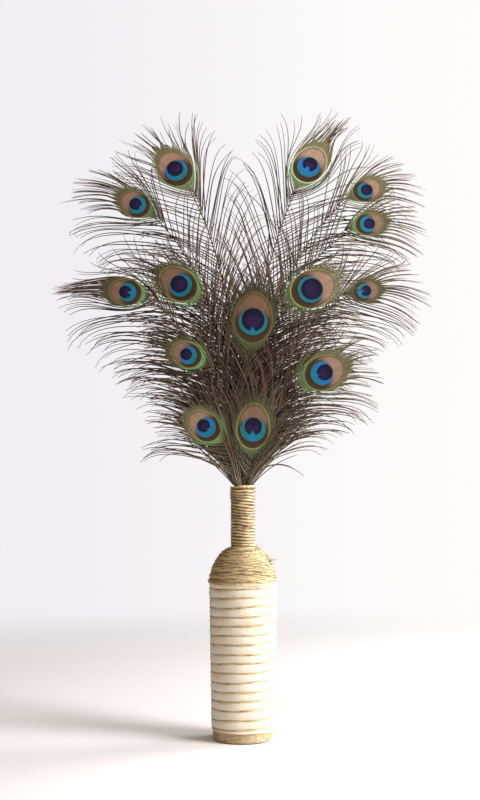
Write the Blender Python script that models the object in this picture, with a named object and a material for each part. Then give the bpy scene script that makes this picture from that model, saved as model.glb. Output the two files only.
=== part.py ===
"""A fan of peacock tail feathers standing in a thread-wound bottle.

Metres, +Z up. The origin is the centre of the bottle's flat base, and the fan faces -Y.
"""

from collections import namedtuple
from math import atan2, cos, pi, radians, sin

import bmesh
import bpy
from mathutils import Vector
from mathutils.geometry import delaunay_2d_cdt, interpolate_bezier

# Gap left between pieces that touch.
GAP = 0.0003
# Every turned piece has the same number of sides, so that their facets lie parallel.
SIDES = 20

# Glass bottle.
BOTTLE_HEIGHT = 0.300
BASE_RADIUS = 0.0330
FOOT_RADIUS = 0.0345
FOOT_TOP_Z = 0.0040
SHOULDER_RADIUS = 0.0377
SHOULDER_Z = 0.186
SHOULDER_HEIGHT = 0.038
NECK_RADIUS = 0.0130
COLLAR_RADIUS = 0.0138
COLLAR_Z = 0.284
BORE_RADIUS = 0.0095
GLASS_WALL = 0.0030
FLOOR_THICKNESS = 0.0050
RIM_ROUND = 0.0012

# White band wound round the body as a helix, with a groove between turns.
BAND_LOW_Z = 0.0125
BAND_HIGH_Z = 0.1860
BAND_PITCH = 0.0109
BAND_SWEEP_TURNS = 20
GROOVE_DEPTH = 0.0012
BAND_THICKNESS = 0.0030

# Gold thread laid in the groove, from the bottle's left side to its right.
THREAD_RADIUS = 0.0005
THREAD_START_Z = 0.014
THREAD_TURNS = 15.5

# Thread wound round the foot, shoulder and neck.
FOOT_WRAP_LOW_Z = 0.0004
FOOT_WRAP_THICKNESS = 0.0010
NECK_WRAP_TOP_Z = 0.2975
NECK_WRAP_THICKNESS = 0.0014
SHOULDER_WRAP_THICKNESS = 0.0030

# Quills stand straight in the neck down to the bottle's floor, each a step further back, in four
# columns taken in turn.
QUILL_RADIUS = 0.0012
TIP_RADIUS = 0.0007
QUILL_COLUMNS = (0.0013, -0.0039, 0.0039, -0.0013)
FRONT_QUILL_Y = -0.0066
QUILL_STEP_Y = 0.00066
# Lean of each feather's plane above the mouth, as run back per rise: the front one leans forward
# and the rear one back.
FRONT_LEAN = -0.260
LEAN_STEP = 0.038
SHAFT_STEPS = 9
RISE_SHARE = 0.25
REACH_SHARE = 0.30

# Vane: a flat plate of pointed locks, from a little above the mouth to the foot of the eye.
VANE_THICKNESS = 0.0008
VANE_START_HEIGHT = 0.030
VANE_START_SHARE = 0.08
VANE_LEAST_SHARE = 0.35
VANE_TO_EYE = 1.15
# A lock's angle to the shaft on the side that the shaft leans away from and on the side that it
# leans over, where it also sags. One passes into the other as the shaft leans over by this much.
UPPER_LOCK_ANGLE = radians(30)
UNDER_LOCK_ANGLE = radians(56)
FULL_LEAN = radians(20)
LOCK_WIDTH = 1.5
LOCKS_PER_METRE = 30
LEAST_LOCKS = 4
ROOT_OVERLAP = 0.0010
# Eye, in widths of its blue spot, and the tuft of locks that spreads from behind it. The tuft's
# outer locks turn further than its stated spread and are a little shorter.
EYE_SIDES = 10
EYE_SHIFT = 0.10
EYE_HALF_WIDTH = 0.80
EYE_HALF_LENGTH = 1.05
TUFT_LOCKS = ((-1.6, 0.90), (-0.8, 1.0), (0, 1.04), (0.8, 1.0), (1.6, 0.90))
TUFT_HALF_WIDTH = 0.50
TUFT_ORIGIN = 1.0

Feather = namedtuple("Feather", "eye_x eye_z tip_deg eye_size left right tuft spread bend")
# Front to back. Angles run from straight up, positive to the right; eye_size is the blue spot's
# width; left and right are the longest barbs on each side of the shaft; spread is the half-angle
# over which the tuft beyond the eye fans out, and bend how strongly the tuft turns to its right.
FEATHERS = (
    Feather(0.012, 0.369, 4, 0.031, 0.090, 0.110, 0.060, 34, 0.00),
    Feather(-0.045, 0.371, -53, 0.025, 0.105, 0.075, 0.060, 36, -0.10),
    Feather(0.095, 0.435, 68, 0.029, 0.085, 0.100, 0.070, 30, 0.12),
    Feather(-0.066, 0.457, -65, 0.022, 0.100, 0.090, 0.060, 24, -0.13),
    Feather(0.012, 0.499, 4, 0.035, 0.115, 0.115, 0.070, 30, 0.00),
    Feather(-0.140, 0.534, -81, 0.023, 0.115, 0.090, 0.080, 6, -0.06),
    Feather(0.083, 0.539, 67, 0.033, 0.110, 0.105, 0.056, 26, 0.10),
    Feather(-0.077, 0.546, -54, 0.029, 0.090, 0.105, 0.076, 32, -0.08),
    Feather(0.150, 0.540, 80, 0.019, 0.080, 0.096, 0.072, 30, 0.10),
    Feather(-0.133, 0.652, -60, 0.023, 0.110, 0.085, 0.078, 26, -0.12),
    Feather(0.158, 0.630, 76, 0.021, 0.080, 0.092, 0.065, 30, 0.12),
    Feather(-0.086, 0.706, -37, 0.030, 0.100, 0.105, 0.074, 36, -0.05),
    Feather(0.159, 0.682, 66, 0.022, 0.085, 0.083, 0.065, 28, 0.16),
    Feather(0.087, 0.720, 30, 0.031, 0.118, 0.115, 0.086, 8, 0.05),
)


def clear_scene():
    for item in list(bpy.data.objects):
        bpy.data.objects.remove(item)


def finish(name, colour, roughness, metallic=0.0, transmission=0.0):
    material = bpy.data.materials.new(name)
    material.use_nodes = True
    shader = material.node_tree.nodes["Principled BSDF"]
    shader.inputs["Base Color"].default_value = (*colour, 1)
    shader.inputs["Roughness"].default_value = roughness
    shader.inputs["Metallic"].default_value = metallic
    shader.inputs["Transmission Weight"].default_value = transmission
    return material


def add_object(name, mesh, material):
    item = bpy.data.objects.new(name, mesh)
    bpy.context.scene.collection.objects.link(item)
    mesh.materials.append(material)
    return item


def add_solid(name, shape, material, smooth_angle=None):
    """Turn a bmesh into an object with its faces pointing out."""
    bmesh.ops.recalc_face_normals(shape, faces=shape.faces)
    mesh = bpy.data.meshes.new(name)
    shape.to_mesh(mesh)
    shape.free()
    if smooth_angle:
        mesh.shade_smooth()
        mesh.set_sharp_from_angle(angle=smooth_angle)
    return add_object(name, mesh, material)


def turned(profile, closed):
    """Spin a profile of (radius, z) points round the bottle's axis."""
    shape = bmesh.new()
    points = [shape.verts.new((radius, 0, z)) for radius, z in profile]
    ends = points[1:] + points[:1] if closed else points[1:]
    edges = [shape.edges.new(pair) for pair in zip(points, ends)]
    bmesh.ops.spin(
        shape, geom=points + edges, axis=(0, 0, 1), angle=2 * pi, steps=SIDES, use_merge=True
    )
    bmesh.ops.remove_doubles(shape, verts=shape.verts, dist=0.00001)
    return shape


def body_radius(z):
    """The glass body widens a little from its foot to its shoulder."""
    share = (z - FOOT_TOP_Z) / (SHOULDER_Z - FOOT_TOP_Z)
    return FOOT_RADIUS + (SHOULDER_RADIUS - FOOT_RADIUS) * share


def shoulder_curve(body, neck, low, height, steps=6):
    """(radius, z) points of the shoulder: a quarter round that flares into the neck."""
    points = []
    for step in range(steps + 1):
        turn = step / steps * pi / 2
        points.append((neck + (body - neck) * cos(turn), low + height * sin(turn) ** 1.3))
    return points


def bottle_solid():
    inner_body = SHOULDER_RADIUS - GLASS_WALL
    outer = [
        (0, 0),
        (BASE_RADIUS, 0),
        (FOOT_RADIUS, FOOT_TOP_Z),
        *shoulder_curve(SHOULDER_RADIUS, NECK_RADIUS, SHOULDER_Z, SHOULDER_HEIGHT),
        (NECK_RADIUS, COLLAR_Z),
        (COLLAR_RADIUS, COLLAR_Z + 0.001),
        (COLLAR_RADIUS, BOTTLE_HEIGHT - RIM_ROUND),
        (COLLAR_RADIUS - RIM_ROUND, BOTTLE_HEIGHT),
        (BORE_RADIUS + RIM_ROUND, BOTTLE_HEIGHT),
        (BORE_RADIUS, BOTTLE_HEIGHT - RIM_ROUND),
    ]
    inner = shoulder_curve(inner_body, BORE_RADIUS, SHOULDER_Z, SHOULDER_HEIGHT - GLASS_WALL, 5)
    floor = [(FOOT_RADIUS - GLASS_WALL, FLOOR_THICKNESS), (0, FLOOR_THICKNESS)]
    return turned(outer + inner[::-1] + floor, closed=False)


def sleeve(outline, thickness):
    """A closed skin that follows an outline of (radius, z) points a gap away from it."""
    inner = [(radius + GAP, z) for radius, z in outline]
    outer = [(radius + GAP + thickness, z) for radius, z in outline]
    return turned(inner + outer[::-1], closed=True)


def helix(points, start_z, turns, closed):
    """Sweep (radius, rise) points round the axis as they climb one band pitch a turn."""
    shape = bmesh.new()
    corners = [shape.verts.new((-radius, 0, start_z + rise)) for radius, rise in points]
    if closed:
        swept = corners + [shape.faces.new(corners)]
    else:
        swept = corners + [shape.edges.new(pair) for pair in zip(corners, corners[1:])]
    bmesh.ops.spin(
        shape,
        geom=swept,
        axis=(0, 0, 1),
        dvec=(0, 0, BAND_PITCH / SIDES),
        angle=2 * pi * turns,
        steps=round(SIDES * turns),
    )
    bmesh.ops.remove_doubles(shape, verts=shape.verts, dist=0.00001)
    return shape


def taper(shape, reference):
    """Narrow what was swept at one radius, so that it follows the glass body."""
    for point in shape.verts:
        # Near enough for a thin skin: every radius shifts by the body's own change.
        flat = Vector((point.co.x, point.co.y, 0))
        point.co += flat.normalized() * (body_radius(point.co.z) - reference)


def open_loop(shape, z):
    """The open edges of a tube at height z."""
    return [e for e in shape.edges if e.is_boundary and all(abs(v.co.z - z) < 1e-5 for v in e.verts)]


def band_solid():
    inner = SHOULDER_RADIUS + GAP
    valley = inner + BAND_THICKNESS - GROOVE_DEPTH
    crest = inner + BAND_THICKNESS
    profile = [(valley, 0), (crest, BAND_PITCH / 2), (valley, BAND_PITCH)]
    shape = helix(profile, THREAD_START_Z - 2 * BAND_PITCH, BAND_SWEEP_TURNS, closed=False)
    for z, clear_low in ((BAND_LOW_Z, True), (BAND_HIGH_Z, False)):
        everything = shape.verts[:] + shape.edges[:] + shape.faces[:]
        bmesh.ops.bisect_plane(
            shape,
            geom=everything,
            dist=1e-6,
            plane_co=(0, 0, z),
            plane_no=(0, 0, 1),
            clear_inner=clear_low,
            clear_outer=not clear_low,
        )
    outer_loops = [open_loop(shape, z) for z in (BAND_LOW_Z, BAND_HIGH_Z)]
    inner_loops = []
    for z in (BAND_LOW_Z, BAND_HIGH_Z):
        ring = bmesh.ops.create_circle(shape, segments=SIDES, radius=inner)["verts"]
        bmesh.ops.translate(shape, verts=ring, vec=(0, 0, z))
        inner_loops.append(list({e for v in ring for e in v.link_edges}))
    bmesh.ops.bridge_loops(shape, edges=inner_loops[0] + inner_loops[1])
    for outer_loop, inner_loop in zip(outer_loops, inner_loops):
        bmesh.ops.bridge_loops(shape, edges=outer_loop + inner_loop)
    taper(shape, SHOULDER_RADIUS)
    return shape


def gold_thread_solid():
    centre = SHOULDER_RADIUS + BAND_THICKNESS - GROOVE_DEPTH + 2 * GAP + THREAD_RADIUS
    section = []
    for corner in range(3):
        turn = 2 * pi * corner / 3
        section.append((centre + THREAD_RADIUS * cos(turn), THREAD_RADIUS * sin(turn)))
    shape = helix(section, THREAD_START_Z, THREAD_TURNS, closed=True)
    taper(shape, SHOULDER_RADIUS)
    return shape


def add_bottle_and_wraps():
    glass = finish("glass", (0.45, 0.50, 0.42), 0.08, transmission=0.6)
    gold = finish("gold thread", (0.45, 0.30, 0.10), 0.40, metallic=0.3)
    white = finish("white band", (0.86, 0.84, 0.78), 0.75)
    add_solid("bottle", bottle_solid(), glass, radians(30))

    foot = [(body_radius(z), z) for z in (FOOT_TOP_Z, BAND_LOW_Z - GAP)]
    foot = [(BASE_RADIUS + GAP, FOOT_WRAP_LOW_Z), *foot]
    add_solid("foot_thread", sleeve(foot, FOOT_WRAP_THICKNESS), gold, radians(40))

    add_solid("body_band", band_solid(), white, radians(20))
    add_solid("gold_thread", gold_thread_solid(), gold, radians(60))

    shoulder = shoulder_curve(SHOULDER_RADIUS, NECK_RADIUS, SHOULDER_Z, SHOULDER_HEIGHT)[:-1]
    shoulder[0] = (SHOULDER_RADIUS, SHOULDER_Z + GAP)
    add_solid("shoulder_thread", sleeve(shoulder, SHOULDER_WRAP_THICKNESS), gold, radians(40))

    neck_low = SHOULDER_Z + SHOULDER_HEIGHT + GAP
    neck = [
        (NECK_RADIUS, neck_low),
        (NECK_RADIUS, COLLAR_Z - GAP),
        (COLLAR_RADIUS, COLLAR_Z + 0.001 - GAP),
        (COLLAR_RADIUS, NECK_WRAP_TOP_Z),
    ]
    add_solid("neck_thread", sleeve(neck, NECK_WRAP_THICKNESS), gold, radians(40))


def heading(degrees_from_up):
    turn = radians(degrees_from_up)
    return Vector((sin(turn), cos(turn)))


def shaft_line(number):
    """The shaft above the mouth as flat (x, z) points, from straight up to the eye's own heading."""
    feather = FEATHERS[number]
    foot = Vector((QUILL_COLUMNS[number % len(QUILL_COLUMNS)], BOTTLE_HEIGHT))
    eye = Vector((feather.eye_x, feather.eye_z))
    length = (eye - foot).length
    rise = foot + Vector((0, RISE_SHARE * length))
    reach = eye - heading(feather.tip_deg) * REACH_SHARE * length
    return [p.xy for p in interpolate_bezier(foot, rise, reach, eye, SHAFT_STEPS)]


def along(line, share):
    """The point and unit direction a share of the way along a flat line of points."""
    place = min(max(share, 0), 0.9999) * (len(line) - 1)
    first = line[int(place)]
    step = line[int(place) + 1] - first
    return first + step * (place - int(place)), step.normalized()


def lock(line, share, width, side, length):
    """One pointed lock, with its base laid a little over the shaft."""
    root, forward = along(line, share)
    across = Vector((forward.y, -forward.x)) * side
    lean = atan2(forward.x, forward.y) * side
    under = min(max(0.5 + lean / FULL_LEAN / 2, 0), 1)
    angle = UPPER_LOCK_ANGLE + (UNDER_LOCK_ANGLE - UPPER_LOCK_ANGLE) * under
    tip = root + (forward * cos(angle) + across * sin(angle)) * length
    back = across * ROOT_OVERLAP
    corners = [root - forward * width / 2 - back, tip, root + forward * width / 2 - back]
    return corners if side < 0 else corners[::-1]


def barb_length(share, longest):
    """Barbs grow a little longer from the foot of the vane to its middle."""
    return longest * (0.98 + 0.12 * sin(pi / 2 * min(1, share * 2.5)))


def vane_shapes(number):
    """Overlapping flat outlines that together make the vane: locks, eye and tuft."""
    feather = FEATHERS[number]
    line = shaft_line(number)
    length = sum((b - a).length for a, b in zip(line, line[1:]))
    bare = max(VANE_START_HEIGHT / length, VANE_START_SHARE)
    top = max(1 - VANE_TO_EYE * feather.eye_size / length, bare + VANE_LEAST_SHARE)
    vane = length * (top - bare)
    count = max(LEAST_LOCKS, round(vane * LOCKS_PER_METRE))
    shapes = []
    for side, longest in ((-1, feather.left), (1, feather.right)):
        for order in range(count):
            where = bare + (top - bare) * (order + 0.5) / count
            width = LOCK_WIDTH * vane / count
            shapes.append(lock(line, where, width, side, barb_length(where, longest)))
    eye = line[-1]
    forward = heading(feather.tip_deg)
    across = Vector((forward.y, -forward.x))
    centre = eye + forward * EYE_SHIFT * feather.eye_size
    ring = []
    for corner in range(EYE_SIDES):
        turn = 2 * pi * corner / EYE_SIDES
        wide = across * EYE_HALF_WIDTH * feather.eye_size * cos(turn)
        ring.append(centre + wide + forward * EYE_HALF_LENGTH * feather.eye_size * sin(turn))
    shapes.append(ring)
    origin = eye - forward * TUFT_ORIGIN * feather.eye_size
    for spread, share in TUFT_LOCKS:
        turn = spread * radians(feather.spread)
        way = forward * cos(turn) + across * sin(turn)
        point = origin + way * (feather.tuft + TUFT_ORIGIN * feather.eye_size) * share
        reach = (point - eye).dot(forward) / feather.eye_size
        point += across * feather.bend * max(0, reach - 0.6) ** 2 * feather.eye_size
        half = (point - eye).normalized() * TUFT_HALF_WIDTH * feather.eye_size
        half = Vector((half.y, -half.x))
        shapes.append([eye - half, eye + half, point])
    return shapes


def vane_solid(number, plane_y):
    """The outlines joined into one plate, laid in the feather's leaning plane."""
    points, faces = [], []
    for outline in vane_shapes(number):
        faces.append(list(range(len(points), len(points) + len(outline))))
        points.extend(outline)
    joined = delaunay_2d_cdt(points, [], faces, 1, 1e-6)
    shape = bmesh.new()
    verts = [shape.verts.new((p.x, plane_y(p.y) - VANE_THICKNESS / 2, p.y)) for p in joined[0]]
    for face in joined[2]:
        shape.faces.new([verts[index] for index in face])
    # Only the outline is kept, and filled again with as few triangles as it needs.
    inside = [edge for edge in shape.edges if not edge.is_boundary]
    bmesh.ops.delete(shape, geom=inside, context="EDGES_FACES")
    bmesh.ops.delete(shape, geom=[v for v in shape.verts if not v.link_edges], context="VERTS")
    bmesh.ops.triangle_fill(shape, edges=shape.edges, use_beauty=True)
    plate = bmesh.ops.extrude_face_region(shape, geom=shape.faces[:])
    moved = [item for item in plate["geom"] if isinstance(item, bmesh.types.BMVert)]
    bmesh.ops.translate(shape, verts=moved, vec=(0, VANE_THICKNESS, 0))
    return shape


def quill_mesh(name, number, plane_y):
    """The quill and shaft as one tapered tube, from the bottle's floor to the eye."""
    curve = bpy.data.curves.new(name, "CURVE")
    curve.dimensions = "3D"
    curve.bevel_depth = 1.0
    curve.bevel_resolution = 1
    curve.use_fill_caps = True
    line = shaft_line(number)
    path = [Vector((line[0].x, FLOOR_THICKNESS + GAP)), *line]
    spline = curve.splines.new("POLY")
    spline.points.add(len(path) - 1)
    for step, (point, place) in enumerate(zip(spline.points, path)):
        share = max(0, step - 1) / (len(path) - 2)
        point.co = (place.x, plane_y(place.y), place.y, 1)
        point.radius = QUILL_RADIUS + (TIP_RADIUS - QUILL_RADIUS) * share
    holder = bpy.data.objects.new(name, curve)
    bpy.context.scene.collection.objects.link(holder)
    graph = bpy.context.evaluated_depsgraph_get()
    mesh = bpy.data.meshes.new_from_object(holder.evaluated_get(graph))
    bpy.data.objects.remove(holder)
    return mesh


def add_feather(number, material):
    front = FRONT_QUILL_Y + QUILL_STEP_Y * number
    lean = FRONT_LEAN + LEAN_STEP * number

    def plane_y(z):
        return front + lean * max(0, z - BOTTLE_HEIGHT)

    name = f"feather_{number + 1:02d}"
    vane = add_solid(name, vane_solid(number, plane_y), material)
    quill = add_object(f"{name}_quill", quill_mesh(f"{name}_quill", number, plane_y), material)
    quill.hide_render = True
    quill.display_type = "WIRE"
    union = vane.modifiers.new("quill", "BOOLEAN")
    union.operation = "UNION"
    union.solver = "EXACT"
    union.object = quill
    # The union leaves the plate's flat faces cut up, so they are joined again.
    flat = vane.modifiers.new("flat faces", "DECIMATE")
    flat.decimate_type = "DISSOLVE"
    flat.angle_limit = radians(1)


def main():
    clear_scene()
    add_bottle_and_wraps()
    plume = finish("plume", (0.10, 0.09, 0.06), 0.55)
    for number in range(len(FEATHERS)):
        add_feather(number, plume)


main()
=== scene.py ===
"""Looks for a fan of peacock tail feathers standing in a thread-wound bottle.

Metres, +Z up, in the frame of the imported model. Every feather is rebuilt barb by barb, and every
winding turn by turn, in the place of the plain solid that it stands for.
"""

import random
from collections import namedtuple
from math import atan2, cos, hypot, pi, radians, sin

import bmesh
import bpy
import numpy as np
from bpy.props import FloatProperty, FloatVectorProperty, IntProperty, PointerProperty
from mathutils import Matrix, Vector, noise
from mathutils.geometry import interpolate_bezier


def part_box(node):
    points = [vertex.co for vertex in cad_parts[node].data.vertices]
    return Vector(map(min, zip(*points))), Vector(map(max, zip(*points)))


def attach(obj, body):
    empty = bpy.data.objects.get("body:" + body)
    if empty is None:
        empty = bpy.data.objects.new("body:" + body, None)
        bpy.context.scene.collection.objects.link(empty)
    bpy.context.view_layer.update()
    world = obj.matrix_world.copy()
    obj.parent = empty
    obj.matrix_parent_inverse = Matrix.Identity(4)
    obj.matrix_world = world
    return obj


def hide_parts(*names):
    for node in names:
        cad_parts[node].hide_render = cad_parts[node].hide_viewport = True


bl_info = {
    "name": "Peacock feathers in a wound bottle",
    "version": (1, 0, 0),
    "blender": (4, 5, 0),
    "location": "3D View > Sidebar > Feathers",
    "description": "Builds feathers, windings and stage around the packed model",
    "category": "Object",
}

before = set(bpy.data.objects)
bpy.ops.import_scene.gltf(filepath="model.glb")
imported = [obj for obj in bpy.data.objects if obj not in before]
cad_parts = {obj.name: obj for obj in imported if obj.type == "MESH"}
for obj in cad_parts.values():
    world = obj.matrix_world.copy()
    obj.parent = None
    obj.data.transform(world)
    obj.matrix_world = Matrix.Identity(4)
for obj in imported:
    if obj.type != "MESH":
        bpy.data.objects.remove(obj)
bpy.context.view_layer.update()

BODY = "root"
BAKE_MAP = "OFBake"

FEATHER_SEED = 4100
WINDING_SEED = 77
LINE_SEED = 31

# The bottle's outline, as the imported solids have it.
GAP = 0.0003
MOUTH_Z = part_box("bottle")[1].z
BASE_RADIUS = 0.0330
FOOT_RADIUS = 0.0345
FOOT_TOP_Z = 0.0040
SHOULDER_RADIUS = 0.0377
SHOULDER_Z = 0.186
SHOULDER_HEIGHT = 0.038
NECK_RADIUS = 0.0130
COLLAR_RADIUS = 0.0138
COLLAR_Z = 0.284
BORE_RADIUS = 0.0095
GLASS_WALL = 0.0030
FLOOR_THICKNESS = 0.0050
RIM_ROUND = 0.0012
ROUND_SIDES = 96

# The white band's helix and the gold line in its groove.
BAND_LOW_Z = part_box("body_band")[0].z
BAND_HIGH_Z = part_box("body_band")[1].z
BAND_PITCH = 0.0109
BAND_THICKNESS = 0.0030
GROOVE_DEPTH = 0.0016
THREAD_START_Z = 0.014
THREAD_TURNS = 15.5

# Where each feather's quill stands in the neck, and how its plane leans above the mouth.
QUILL_COLUMNS = (0.0013, -0.0039, 0.0039, -0.0013)
FRONT_QUILL_Y = -0.0066
QUILL_STEP_Y = 0.00066
FRONT_LEAN = -0.260
LEAN_STEP = 0.038
RISE_SHARE = 0.25
REACH_SHARE = 0.30
QUILL_RADIUS = 0.0012
SHAFT_TIP_RADIUS = 0.0005

# The camera that stands where the picture was taken: place, upward pitch and lens in millimetres.
CAMERA_PLACE = (-0.003638, -1.45539, 0.307846)
CAMERA_PITCH = radians(3.814)
CAMERA_LENS = 54.0

Feather = namedtuple("Feather", "eye_x eye_z tip_deg eye_size left right tuft spread bend")
# Front to back. Angles run from straight up, positive to the right; eye_size is the blue spot's
# width; left and right are the longest barbs on each side of the shaft; spread is the half-angle
# over which the tuft beyond the eye fans out, and bend how strongly the tuft turns to its right.
FEATHERS = (
    Feather(0.012, 0.369, 4, 0.031, 0.090, 0.110, 0.060, 34, 0.00),
    Feather(-0.045, 0.371, -53, 0.025, 0.105, 0.075, 0.060, 36, -0.10),
    Feather(0.095, 0.435, 68, 0.029, 0.085, 0.100, 0.070, 30, 0.12),
    Feather(-0.066, 0.457, -65, 0.022, 0.100, 0.090, 0.060, 24, -0.13),
    Feather(0.012, 0.499, 4, 0.035, 0.115, 0.115, 0.070, 30, 0.00),
    Feather(-0.140, 0.534, -81, 0.023, 0.115, 0.090, 0.080, 6, -0.06),
    Feather(0.083, 0.539, 67, 0.033, 0.110, 0.105, 0.056, 26, 0.10),
    Feather(-0.077, 0.546, -54, 0.029, 0.090, 0.105, 0.076, 32, -0.08),
    Feather(0.150, 0.540, 80, 0.019, 0.080, 0.096, 0.072, 30, 0.10),
    Feather(-0.133, 0.652, -60, 0.023, 0.110, 0.085, 0.078, 26, -0.12),
    Feather(0.158, 0.630, 76, 0.021, 0.080, 0.092, 0.065, 30, 0.12),
    Feather(-0.086, 0.706, -37, 0.030, 0.100, 0.105, 0.074, 36, -0.05),
    Feather(0.159, 0.682, 66, 0.022, 0.085, 0.083, 0.065, 28, 0.16),
    Feather(0.087, 0.720, 30, 0.031, 0.118, 0.115, 0.086, 8, 0.05),
)

Look = namedtuple("Look", "tone heart notch pale mint width line")
# How each eye differs: the blue spot's tone from azure to teal, the heart's half-width, how far up
# the notch in it reaches, how pale the oval and its rim are, how mint the rim's foot is, the oval's
# half-width and how bright the line round it is. Lengths are in widths of the blue spot.
NO_NOTCH = -1.0
LOOKS = (
    Look(0.95, 0.34, -0.08, 0.25, 0.35, 0.63, 0.75),
    Look(0.20, 0.31, -0.10, 0.75, 0.90, 0.67, 0.95),
    Look(0.05, 0.33, -0.16, 0.65, 0.45, 0.70, 0.60),
    Look(0.10, 0.32, NO_NOTCH, 0.35, 1.00, 0.69, 0.90),
    Look(1.00, 0.40, -0.22, 0.10, 0.20, 0.66, 0.20),
    Look(0.95, 0.33, -0.04, 0.25, 1.00, 0.70, 0.60),
    Look(0.75, 0.40, NO_NOTCH, 0.70, 0.35, 0.69, 1.00),
    Look(0.35, 0.37, NO_NOTCH, 0.20, 1.00, 0.68, 0.80),
    Look(0.75, 0.35, -0.06, 0.30, 0.10, 0.68, 0.10),
    Look(0.90, 0.34, -0.14, 0.45, 0.45, 0.72, 0.55),
    Look(0.25, 0.34, NO_NOTCH, 0.35, 0.75, 0.70, 0.50),
    Look(0.30, 0.35, NO_NOTCH, 0.75, 0.70, 0.72, 0.70),
    Look(0.55, 0.35, NO_NOTCH, 0.70, 0.35, 0.72, 0.60),
    Look(0.00, 0.32, 0.00, 1.00, 0.70, 0.69, 1.00),
)

# A run of points with the half-width at each, the strand's own tint and, for all of it or for each
# point, a shade that a material may use as it likes: the threads take it as painted shade, the
# barbs as their share of the throat's colour.
Strand = namedtuple("Strand", "places widths tint shade", defaults=(0.0,))


def linear(*screen):
    """A screen colour of 0 to 255 as the linear values that shaders take."""
    shares = [part / 255 for part in screen]
    return tuple(s / 12.92 if s <= 0.04045 else ((s + 0.055) / 1.055) ** 2.4 for s in shares)


def colour_setting(name, description, *screen):
    return FloatVectorProperty(
        name=name, description=description, default=linear(*screen), subtype="COLOR", min=0, max=1
    )


def length_setting(name, description, default):
    return FloatProperty(name=name, description=description, default=default, min=0, unit="LENGTH")


def angle_setting(name, description, degrees):
    return FloatProperty(
        name=name, description=description, default=radians(degrees), unit="ROTATION"
    )


def power_setting(name, description, default):
    return FloatProperty(name=name, description=description, default=default, min=0, unit="POWER")


def count_setting(name, description, default, least):
    return IntProperty(name=name, description=description, default=default, min=least)


class FeatherSettings(bpy.types.PropertyGroup):
    eye_barbs: count_setting("Barbs in the eye", "Barbs on each side that make the eye", 30, 8)
    throat_barbs: count_setting(
        "Throat barbs", "Lowest barbs of each feather, pressed in the neck", 12, 0
    )
    loose_gap: length_setting(
        "Loose barb gap", "Distance along the shaft between loose barbs", 0.0061
    )
    barb_width: length_setting("Barb width", "Width of a loose barb", 0.0013)
    droop: angle_setting("Droop", "How far a level barb sags by its tip", 17)
    curl: angle_setting("Tip curl", "How far a loose barb's tip turns out", 34)
    heart: colour_setting("Heart", "Dark centre of the eye", 24, 17, 50)
    plum: colour_setting("Plum", "Middle of the heart", 42, 25, 68)
    azure: colour_setting("Azure", "Blue spot on its brighter side", 30, 104, 184)
    teal: colour_setting("Teal", "Blue spot on its greener side", 24, 112, 122)
    verdigris: colour_setting("Verdigris", "Thin green edge of the blue spot", 56, 96, 80)
    bronze: colour_setting("Bronze", "Oval round the blue spot", 106, 79, 63)
    sand: colour_setting("Sand", "Oval round the blue spot in the palest eyes", 162, 132, 114)
    umber: colour_setting("Umber", "Darker foot of the oval", 66, 46, 32)
    dim_line: colour_setting(
        "Dim line", "The line round the oval where it hardly shows", 86, 72, 46
    )
    line: colour_setting("Line", "Thin bright line round the oval", 136, 138, 80)
    pale_line: colour_setting("Pale line", "The bright line in the palest eyes", 182, 186, 152)
    moss: colour_setting("Moss", "Dark ring outside the line", 58, 56, 38)
    mint: colour_setting("Mint", "Pale green rim at the eye's foot", 100, 140, 92)
    olive: colour_setting("Olive", "Barbs close round the eye", 112, 106, 80)
    barb: colour_setting("Barb", "Loose barbs near the shaft", 50, 31, 26)
    throat: colour_setting("Throat", "Barbs that leave the neck", 118, 108, 92)
    gilt: colour_setting("Gilt", "The few loose barbs that look greenish gold", 116, 107, 66)
    barb_tip: colour_setting("Barb tip", "Loose barbs towards their tips", 93, 72, 62)
    shaft: colour_setting("Shaft", "Shaft of the feather", 120, 106, 78)


class WindingSettings(bpy.types.PropertyGroup):
    neck_ridge: length_setting("Neck ridge", "Width of one ridge of thread on the neck", 0.0036)
    neck_thread: length_setting("Neck thread", "Thickness of the thread on the neck", 0.0012)
    shoulder_turns: count_setting("Shoulder turns", "Crossing turns over the shoulder", 84, 4)
    shoulder_thread: length_setting(
        "Shoulder thread", "Thickness of the thread on the shoulder", 0.0009
    )
    foot_thread: length_setting("Foot thread", "Thickness of the thread on the foot", 0.0013)
    line_thread: length_setting("Line thread", "Thickness of the gold line on the band", 0.0017)
    gold: colour_setting("Gold", "Thread where it catches the light", 228, 206, 158)
    # Brown is the thread's painted shade in its dips and patches, and the colour of its darker
    # strands.
    brown: colour_setting("Brown", "Thread in its shaded dips", 82, 44, 12)
    cream: colour_setting("Cream", "The soft white band", 230, 222, 207)
    line_gold: colour_setting("Line gold", "Thread in the band's groove", 188, 162, 110)
    glass: colour_setting("Glass", "The bottle's glass", 205, 222, 205)


class StageSettings(bpy.types.PropertyGroup):
    key_power: power_setting("Key power", "Power of the large light at the right", 56)
    fill_power: power_setting("Fill power", "Power of the soft light at the left", 4.2)
    window_power: power_setting("Window power", "Power of the light behind the right side", 24)
    top_power: power_setting("Top power", "Power of the soft light above", 13)
    sky: FloatProperty(
        name="Sky", description="Strength of the even light from all round", default=0.15, min=0
    )
    room: colour_setting("Room", "Colour of the even light", 255, 216, 162)
    floor: colour_setting("Floor", "The pale floor", 236, 234, 238)
    backdrop: colour_setting(
        "Backdrop", "What is seen behind the object at the left", 241, 237, 243
    )
    glow: colour_setting("Glow", "What is seen behind the object at the right", 255, 252, 250)


# How deep the finest relief is, the ribs along one barb and a thread's twist from end to end, both
# in radians, and how closely glints lie on a thread.
FINE_BUMP = 0.0002
RIB_TURNS = 1500.0
GLINTS_PER_METRE = 1700
THREAD_TWIST = 900.0
FOOT_TWIST = 6600.0

# A colour Mix node's sockets: the factor and both colours, and the mixed colour.
MIX_INPUTS = (0, 6, 7)
MIX_RESULT = 2


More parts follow.
